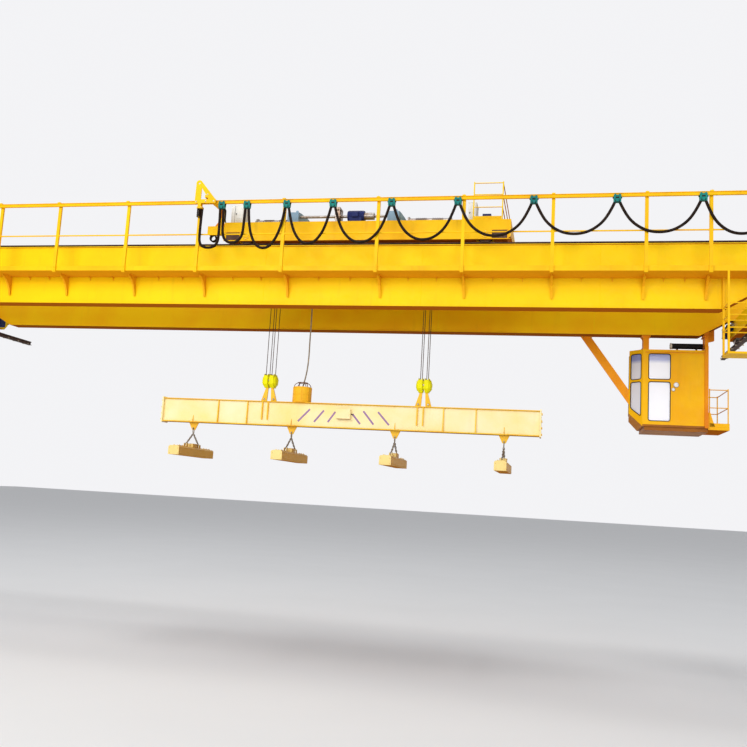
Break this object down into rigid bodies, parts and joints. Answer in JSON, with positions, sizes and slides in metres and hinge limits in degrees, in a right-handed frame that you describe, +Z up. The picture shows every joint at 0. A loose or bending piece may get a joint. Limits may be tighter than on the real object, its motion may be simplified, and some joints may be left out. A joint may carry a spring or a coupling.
{
  "type": "overhead magnet crane",
  "caption": "Overhead travelling crane with box girders, a trolley with grooved hoist drums, a lifting beam with bar magnets on chains, an operator's cab and a festoon cable.",
  "frame": {"origin": "middle of the underside of the left runway rail", "axes": "+X along the span towards the cab, +Y along the runway away from the cable track, +Z up"},
  "size_m": [26.02, 9, 7.98],
  "materials": {
    "yellow_paint": "satin",
    "amber_paint": "satin",
    "lemon_paint": "satin",
    "cream_paint": "satin",
    "teal_paint": "satin",
    "blue_paint": "satin",
    "rail_steel": "worn",
    "track_steel": "satin",
    "chain_steel": "worn",
    "rope_steel": "greased",
    "cable_rubber": "matt",
    "cable_grey": "matt",
    "glass": "clear"
  },
  "bodies": {
    "runway": {"runway_rails": "rail_steel"},
    "bridge": {"end_carriages": "yellow_paint", "carriage_wheels": "rail_steel", "travel_drives": "blue_paint", "near_girder": "yellow_paint", "far_girder": "amber_paint", "trolley_rails": "rail_steel", "near_walkway": "yellow_paint", "far_walkway": "amber_paint", "walkway_brackets": "yellow_paint", "near_posts": "yellow_paint", "guard_rail": "yellow_paint", "festoon_track": "track_steel", "far_handrail": "amber_paint", "festoon_cable": "cable_rubber", "cab_floor": "yellow_paint", "cab_roof": "yellow_paint", "cab_side_wall": "yellow_paint", "cab_nose_wall": "yellow_paint", "cab_front_wall": "yellow_paint", "cab_far_wall": "yellow_paint", "cab_end_wall": "yellow_paint", "cab_door": "yellow_paint", "cab_panes": "glass", "cab_hangers": "yellow_paint", "cab_balcony": "yellow_paint", "collector_cage": "yellow_paint"},
    "trolley": {"trolley_side_beams": "yellow_paint", "trolley_wheels": "rail_steel", "trolley_deck": "yellow_paint", "trolley_cross_beams": "yellow_paint", "hoist_drums": "rail_steel", "hoist_gearboxes": "blue_paint", "hoist_stands": "yellow_paint", "hoist_shafts": "rail_steel", "trolley_motors": "blue_paint", "control_cabinets": "cream_paint", "trolley_railing": "yellow_paint", "equalizer_sheaves": "rail_steel", "tow_arm": "yellow_paint", "hoist_ropes": "rope_steel", "magnet_cable": "cable_grey"},
    "lifting_beam": {"hook_cheeks": "lemon_paint", "block_sheaves": "rail_steel", "beam_lugs": "lemon_paint", "lifting_beam": "cream_paint", "beam_box": "cream_paint", "cable_basket": "yellow_paint", "magnet_slings": "chain_steel", "magnets": "cream_paint"},
    "carrier_1": {"festoon_carrier_1": "teal_paint"},
    "carrier_2": {"festoon_carrier_2": "teal_paint"},
    "carrier_3": {"festoon_carrier_3": "teal_paint"},
    "carrier_4": {"festoon_carrier_4": "teal_paint"},
    "carrier_5": {"festoon_carrier_5": "teal_paint"},
    "carrier_6": {"festoon_carrier_6": "teal_paint"},
    "carrier_7": {"festoon_carrier_7": "teal_paint"},
    "carrier_8": {"festoon_carrier_8": "teal_paint"},
    "carrier_9": {"festoon_carrier_9": "teal_paint"}
  },
  "joints": [
    {"name": "bridge_travel", "type": "slide", "parent": "runway", "child": "bridge", "axis": [0, 1, 0], "range_m": [-1.5, 1.5]},
    {"name": "trolley_travel", "type": "slide", "parent": "bridge", "child": "trolley", "axis": [1, 0, 0], "range_m": [-7.8, 5.2]},
    {"name": "hoist_lift", "type": "slide", "parent": "trolley", "child": "lifting_beam", "axis": [0, 0, 1], "range_m": [-5, 2.5], "deforming": ["hoist_ropes", "magnet_cable"]},
    {"name": "carrier_1_run", "type": "slide", "parent": "bridge", "child": "carrier_1", "axis": [1, 0, 0], "range_m": [-7.459, 4.976]},
    {"name": "carrier_2_run", "type": "slide", "parent": "bridge", "child": "carrier_2", "axis": [1, 0, 0], "range_m": [-6.679, 4.456]},
    {"name": "carrier_3_run", "type": "slide", "parent": "bridge", "child": "carrier_3", "axis": [1, 0, 0], "range_m": [-5.509, 3.676]},
    {"name": "carrier_4_run", "type": "slide", "parent": "bridge", "child": "carrier_4", "axis": [1, 0, 0], "range_m": [-4.339, 2.896]},
    {"name": "carrier_5_run", "type": "slide", "parent": "bridge", "child": "carrier_5", "axis": [1, 0, 0], "range_m": [-3.364, 2.246]},
    {"name": "carrier_6_run", "type": "slide", "parent": "bridge", "child": "carrier_6", "axis": [1, 0, 0], "range_m": [-2.545, 1.7]},
    {"name": "carrier_7_run", "type": "slide", "parent": "bridge", "child": "carrier_7", "axis": [1, 0, 0], "range_m": [-1.859, 1.242]},
    {"name": "carrier_8_run", "type": "slide", "parent": "bridge", "child": "carrier_8", "axis": [1, 0, 0], "range_m": [-1.258, 0.842]},
    {"name": "carrier_9_run", "type": "slide", "parent": "bridge", "child": "carrier_9", "axis": [1, 0, 0], "range_m": [-0.673, 0.452]}
  ],
  "couplings": [
    {"joint": "carrier_1_run", "follows": "trolley_travel", "ratio": 0.955},
    {"joint": "carrier_2_run", "follows": "trolley_travel", "ratio": 0.855},
    {"joint": "carrier_3_run", "follows": "trolley_travel", "ratio": 0.705},
    {"joint": "carrier_4_run", "follows": "trolley_travel", "ratio": 0.555},
    {"joint": "carrier_5_run", "follows": "trolley_travel", "ratio": 0.43},
    {"joint": "carrier_6_run", "follows": "trolley_travel", "ratio": 0.325},
    {"joint": "carrier_7_run", "follows": "trolley_travel", "ratio": 0.237},
    {"joint": "carrier_8_run", "follows": "trolley_travel", "ratio": 0.16},
    {"joint": "carrier_9_run", "follows": "trolley_travel", "ratio": 0.085}
  ]
}
